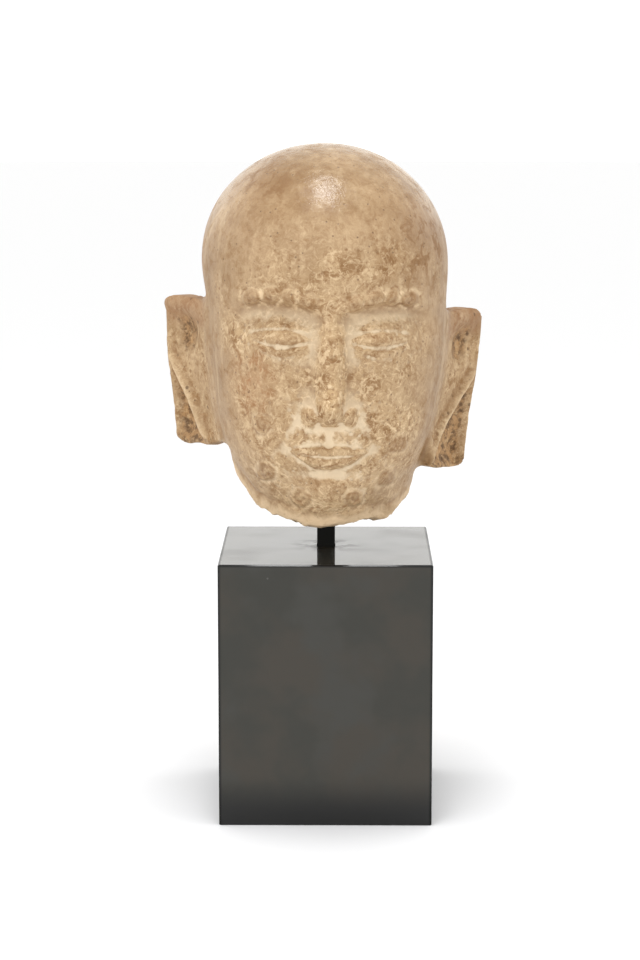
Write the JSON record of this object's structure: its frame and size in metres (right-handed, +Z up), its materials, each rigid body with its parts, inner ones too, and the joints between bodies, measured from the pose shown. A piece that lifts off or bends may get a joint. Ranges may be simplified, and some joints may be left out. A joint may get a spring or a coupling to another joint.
{
  "type": "carved stone luohan head on a plinth",
  "caption": "Shaven carved stone head with long ears, broken off under the chin, held by a square black bar over a dark square block plinth.",
  "frame": {"origin": "middle of the plinth's underside, where the part stands", "axes": "+Z up, face and plinth front towards -Y, +X to the right as seen from the front"},
  "size_m": [0.2163, 0.2046, 0.444],
  "materials": {
    "stone": "satin",
    "black_steel": "satin",
    "black_lacquer": "satin"
  },
  "bodies": {
    "root": {"head": "stone", "support_bar": "black_steel", "plinth": "black_lacquer"}
  },
  "joints": []
}
